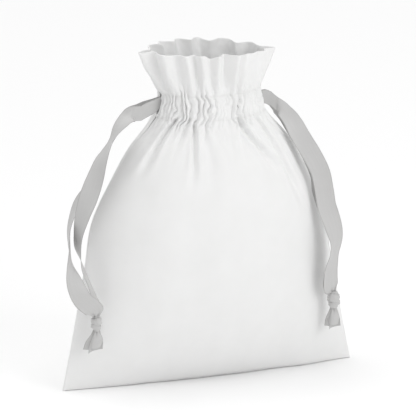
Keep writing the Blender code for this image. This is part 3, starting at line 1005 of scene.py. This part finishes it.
def new_material(name):
    made = bpy.data.materials.new(name)
    made.use_nodes = True
    nodes, links = made.node_tree.nodes, made.node_tree.links
    return made, nodes, links, nodes["Principled BSDF"]


def node(nodes, kind, **sockets):
    made = nodes.new(kind)
    for name, value in sockets.items():
        made.inputs[name.replace("_", " ")].default_value = value
    return made


def colour_ramp(nodes, low, high):
    """A ramp between two (position, colour) ends."""
    ramp = nodes.new("ShaderNodeValToRGB")
    for element, (position, colour) in zip(ramp.color_ramp.elements, (low, high)):
        element.position = position
        element.color = colour
    return ramp


def cotton_material():
    """Plain-woven cotton: over and under threads, slubs, and faint unevenness of colour."""
    made, nodes, links, shader = new_material("white_cotton")
    shader.inputs["Roughness"].default_value = 0.88
    shader.inputs["Sheen Weight"].default_value = 0.25
    shader.inputs["Sheen Roughness"].default_value = 0.5
    shader.inputs["Specular IOR Level"].default_value = 0.2
    place = nodes.new("ShaderNodeTexCoord")
    mottle = node(nodes, "ShaderNodeTexNoise", Scale=45.0, Detail=4.0, Roughness=0.6)
    links.new(place.outputs["Object"], mottle.inputs["Vector"])
    ramp = colour_ramp(nodes, (0.3, COTTON_DARK), (0.7, COTTON_LIGHT))
    links.new(mottle.outputs["Fac"], ramp.inputs["Fac"])
    links.new(ramp.outputs["Color"], shader.inputs["Base Color"])
    weave = nodes.new("ShaderNodeMath")
    weave.operation = "ADD"
    for socket, direction in zip(weave.inputs, ("X", "Y")):
        threads = node(nodes, "ShaderNodeTexWave", Scale=560.0, Distortion=1.2, Detail=2.0)
        threads.inputs["Detail Scale"].default_value = 1.5
        threads.bands_direction = direction
        links.new(place.outputs["UV"], threads.inputs["Vector"])
        links.new(threads.outputs["Fac"], socket)
    bump = node(nodes, "ShaderNodeBump", Strength=0.25, Distance=0.00012)
    links.new(weave.outputs["Value"], bump.inputs["Height"])
    crumple = node(nodes, "ShaderNodeTexNoise", Scale=70.0, Detail=3.0, Roughness=0.55)
    links.new(place.outputs["Object"], crumple.inputs["Vector"])
    soft = node(nodes, "ShaderNodeBump", Strength=0.08, Distance=0.0003)
    links.new(crumple.outputs["Fac"], soft.inputs["Height"])
    links.new(bump.outputs["Normal"], soft.inputs["Normal"])
    links.new(soft.outputs["Normal"], shader.inputs["Normal"])
    return made


def thread_material():
    made, nodes, links, shader = new_material("cotton_thread")
    shader.inputs["Base Color"].default_value = THREAD_COLOUR
    shader.inputs["Roughness"].default_value = 0.7
    shader.inputs["Sheen Weight"].default_value = 0.3
    place = nodes.new("ShaderNodeTexCoord")
    twist = node(nodes, "ShaderNodeTexWave", Scale=900.0, Distortion=0.4)
    twist.bands_direction = "DIAGONAL"
    links.new(place.outputs["Object"], twist.inputs["Vector"])
    bump = node(nodes, "ShaderNodeBump", Strength=0.4, Distance=0.00008)
    links.new(twist.outputs["Fac"], bump.inputs["Height"])
    links.new(bump.outputs["Normal"], shader.inputs["Normal"])
    return made


def satin_material():
    """Grey satin: a soft lengthwise gloss, fine crosswise ribs and a denser selvedge."""
    made, nodes, links, shader = new_material("grey_satin")
    shader.inputs["Roughness"].default_value = 0.42
    shader.inputs["Anisotropic"].default_value = 0.45
    shader.inputs["Sheen Weight"].default_value = 0.15
    shader.inputs["Specular IOR Level"].default_value = 0.45
    place = nodes.new("ShaderNodeTexCoord")
    split = nodes.new("ShaderNodeSeparateXYZ")
    links.new(place.outputs["UV"], split.inputs["Vector"])
    edge = nodes.new("ShaderNodeMath")
    edge.operation = "ABSOLUTE"
    links.new(split.outputs["X"], edge.inputs[0])
    selvedge = node(nodes, "ShaderNodeMapRange")
    selvedge.inputs["From Min"].default_value = RIBBON_WIDTH / 2 - 0.0009
    selvedge.inputs["From Max"].default_value = RIBBON_WIDTH / 2 - 0.0004
    links.new(edge.outputs["Value"], selvedge.inputs["Value"])
    streak_place = nodes.new("ShaderNodeMapping")
    streak_place.inputs["Scale"].default_value = (900.0, 30.0, 1.0)
    links.new(place.outputs["UV"], streak_place.inputs["Vector"])
    streaks = node(nodes, "ShaderNodeTexNoise", Scale=1.0, Detail=3.0)
    links.new(streak_place.outputs["Vector"], streaks.inputs["Vector"])
    ramp = colour_ramp(nodes, (0.25, SATIN_DARK), (0.75, SATIN_LIGHT))
    links.new(streaks.outputs["Fac"], ramp.inputs["Fac"])
    darker = nodes.new("ShaderNodeMix")
    darker.data_type = "RGBA"
    darker.inputs["B"].default_value = SELVEDGE_COLOUR
    links.new(selvedge.outputs["Result"], darker.inputs["Factor"])
    links.new(ramp.outputs["Color"], darker.inputs["A"])
    links.new(darker.outputs["Result"], shader.inputs["Base Color"])
    ribs = node(nodes, "ShaderNodeTexWave", Scale=700.0, Distortion=0.6, Detail=1.0)
    ribs.bands_direction = "Y"
    links.new(place.outputs["UV"], ribs.inputs["Vector"])
    bump = node(nodes, "ShaderNodeBump", Strength=0.15, Distance=0.00005)
    links.new(ribs.outputs["Fac"], bump.inputs["Height"])
    links.new(bump.outputs["Normal"], shader.inputs["Normal"])
    return made


# ---------------------------------------------------------------- studio

def make_camera():
    data = bpy.data.cameras.new("camera")
    data.lens = LENS_MM
    data.sensor_width = SENSOR_MM
    data.clip_end = 40
    camera = bpy.data.objects.new("camera", data)
    bpy.context.scene.collection.objects.link(camera)
    a, e = CAMERA_AZIMUTH, CAMERA_ELEVATION
    back = Vector((math.sin(a) * math.cos(e), -math.cos(a) * math.cos(e), math.sin(e)))
    right = Vector((math.cos(a), math.sin(a), 0))
    up = back.cross(right)
    aim = right * AIM_RIGHT + up * AIM_UP
    distance = VIEW_WIDTH / SENSOR_MM * LENS_MM
    camera.location = aim + back * distance
    camera.rotation_euler = back.to_track_quat("Z", "Y").to_euler()
    bpy.context.scene.camera = camera


def area_light(name, place, aim, size, power):
    data = bpy.data.lights.new(name, "AREA")
    data.shape = "DISK"
    data.size = size
    data.energy = power
    light = bpy.data.objects.new(name, data)
    bpy.context.scene.collection.objects.link(light)
    light.location = place
    light.rotation_euler = (Vector(place) - Vector(aim)).to_track_quat("Z", "Y").to_euler()


def lights():
    scene = bpy.context.scene
    world = bpy.data.worlds.new("studio")
    scene.world = world
    world.use_nodes = True
    sky = world.node_tree.nodes["Background"]
    sky.inputs["Color"].default_value = WHITE
    sky.inputs["Strength"].default_value = SKY_STRENGTH
    scene.view_settings.view_transform = "Standard"
    area_light("key", **KEY_LIGHT)
    area_light("overhead", **OVERHEAD_LIGHT)
    sun = bpy.data.lights.new("top", "SUN")
    sun.angle = SUN_SPREAD
    sun.energy = SUN_STRENGTH
    above = bpy.data.objects.new("top", sun)
    above.rotation_euler = SUN_TURN
    scene.collection.objects.link(above)


def pale_floor():
    bpy.ops.mesh.primitive_plane_add(size=FLOOR_SIZE, location=(0, 0, FLOOR_Z))
    floor = bpy.context.object
    floor.name = "floor"
    made, _, _, shader = new_material("pale_floor")
    shader.inputs["Base Color"].default_value = FLOOR_COLOUR
    shader.inputs["Roughness"].default_value = 0.9
    floor.data.materials.append(made)


def main():
    make_camera()
    cloth = cotton_material()
    thread = thread_material()
    satin = satin_material()
    routes = {
        "left": (("inner", LEFT_INNER_ROUTE), ("outer", LEFT_OUTER_ROUTE)),
        "right": (("front", RIGHT_FRONT_ROUTE), ("back", RIGHT_BACK_ROUTE)),
    }
    for hand, strands in routes.items():
        channel_run(hand, satin)
        ends = [knot(hand, satin), tail(hand, "front", satin), tail(hand, "back", satin)]
        for i, (name, route) in enumerate(strands):
            strand(f"{hand}_ribbon_{name}_strand_satin", route, hand, satin)
        side_seam(hand, cloth, thread)
        bartack(hand, thread)
    for side in ("front", "back"):
        cloth_panel(side, cloth)
        stitch_row(side, CHANNEL_TOP_Z, "upper", thread)
        stitch_row(side, CHANNEL_BOTTOM_Z, "lower", thread)
    bottom_seam(cloth)
    lights()
    pale_floor()


main()
